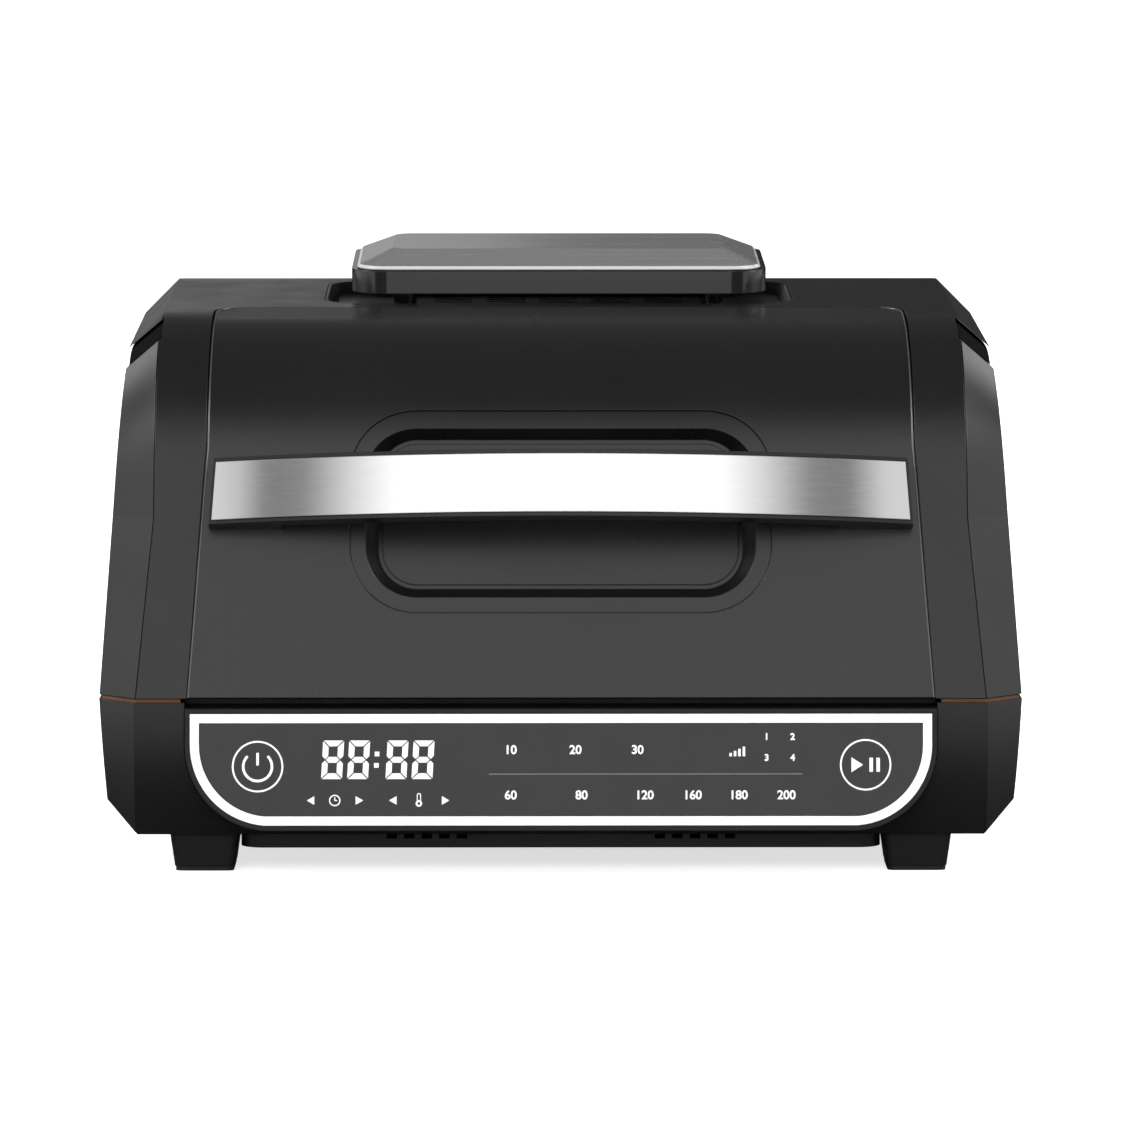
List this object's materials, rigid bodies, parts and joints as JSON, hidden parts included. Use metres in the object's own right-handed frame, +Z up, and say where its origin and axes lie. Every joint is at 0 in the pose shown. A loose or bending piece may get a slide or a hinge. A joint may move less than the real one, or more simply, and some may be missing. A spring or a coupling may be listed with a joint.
{
  "type": "countertop air fryer grill",
  "caption": "Countertop air fryer grill with a faceted rear-hinged hood, bowed handle over a finger pocket, vent tower, touch panel, and a lift-out pot and grill plate.",
  "frame": {"origin": "on the worktop, under the middle of the overall outline", "axes": "+X to the right seen from the front, +Y to the back where the hinge is, +Z up"},
  "size_m": [0.4, 0.3841, 0.265],
  "materials": {
    "base_black": "satin black moulded plastic",
    "foot_black": "matt black moulded plastic",
    "pad_rubber": "matt black rubber",
    "gasket": "copper-brown heat-proof rubber",
    "ring_white": "gloss white inlay",
    "touch_glass": "smooth dark grey touch surface",
    "circuit_board": "green solder mask",
    "display_black": "black display body",
    "liner_steel": "bare formed sheet",
    "bracket_steel": "dull plated sheet",
    "element_steel": "heat-darkened tube",
    "fastener_steel": "zinc plated",
    "coated_aluminium": "black non-stick coating",
    "hood_black": "satin black moulded plastic",
    "face_black": "semi-gloss black",
    "vent_black": "matt black",
    "handle_black": "satin black moulded plastic",
    "trim_chrome": "satin chrome",
    "tower_black": "gloss black",
    "plate_metal": "dark brushed metal with a bright edge",
    "motor_steel": "plain steel can",
    "fan_aluminium": "bare sheet",
    "fan_plastic": "black plastic"
  },
  "bodies": {
    "base": {"base_housing": "base_black", "bottom_plate": "base_black", "foot_front_left": "foot_black", "foot_front_right": "foot_black", "foot_rear_left": "foot_black", "foot_rear_right": "foot_black", "foot_pad_front_left": "pad_rubber", "foot_pad_front_right": "pad_rubber", "foot_pad_rear_left": "pad_rubber", "foot_pad_rear_right": "pad_rubber", "foot_screws": "fastener_steel", "bottom_screws": "fastener_steel", "panel_bezel": "base_black", "panel_ring": "ring_white", "touch_panel": "touch_glass", "control_board": "circuit_board", "display_module": "display_black", "power_board": "circuit_board", "cord_grommet": "pad_rubber", "base_liner": "liner_steel", "lower_heating_element": "element_steel", "lower_element_clips": "bracket_steel", "rim_gasket": "gasket", "hinge_bracket_left": "bracket_steel", "hinge_bracket_right": "bracket_steel", "hinge_pins": "fastener_steel", "bracket_screws": "fastener_steel"},
    "hood": {"lid_frame": "hood_black", "front_panel": "face_black", "side_panel_left": "hood_black", "side_panel_right": "hood_black", "side_vent_left": "vent_black", "side_vent_right": "vent_black", "finger_pocket": "face_black", "handle_bar": "handle_black", "handle_trim": "trim_chrome", "handle_screws": "fastener_steel", "intake_tray": "hood_black", "tower_shell": "tower_black", "top_plate": "plate_metal", "tower_screws": "fastener_steel", "rear_grille": "hood_black", "lid_liner": "liner_steel", "temperature_probe": "element_steel", "upper_heating_element": "element_steel", "upper_element_clips": "bracket_steel", "element_guard": "liner_steel", "heat_shield": "liner_steel", "motor_bracket": "bracket_steel", "fan_motor": "motor_steel", "hinge_arm_left": "bracket_steel", "hinge_arm_right": "bracket_steel", "arm_screws": "fastener_steel"},
    "fan": {"fan_shaft": "fastener_steel", "hot_air_fan": "fan_aluminium", "cooling_fan": "fan_plastic", "fan_nut": "fastener_steel"},
    "pot": {"cooking_pot": "coated_aluminium"},
    "grill": {"grill_plate": "coated_aluminium"}
  },
  "joints": [
    {"name": "hood_hinge", "type": "hinge", "parent": "base", "child": "hood", "pos_m": [0, 0.174, 0.088], "axis": [-1, 0, 0], "range_deg": [0, 80]},
    {"name": "fan_spin", "type": "hinge", "parent": "hood", "child": "fan", "pos_m": [0, -0.004, 0.18], "axis": [0, 0, 1], "continuous": true},
    {"name": "pot_lift", "type": "slide", "parent": "base", "child": "pot", "axis": [0, 0, 1], "range_m": [0, 0.03]},
    {"name": "grill_lift", "type": "slide", "parent": "pot", "child": "grill", "axis": [0, 0, 1], "range_m": [0, 0.03]}
  ]
}
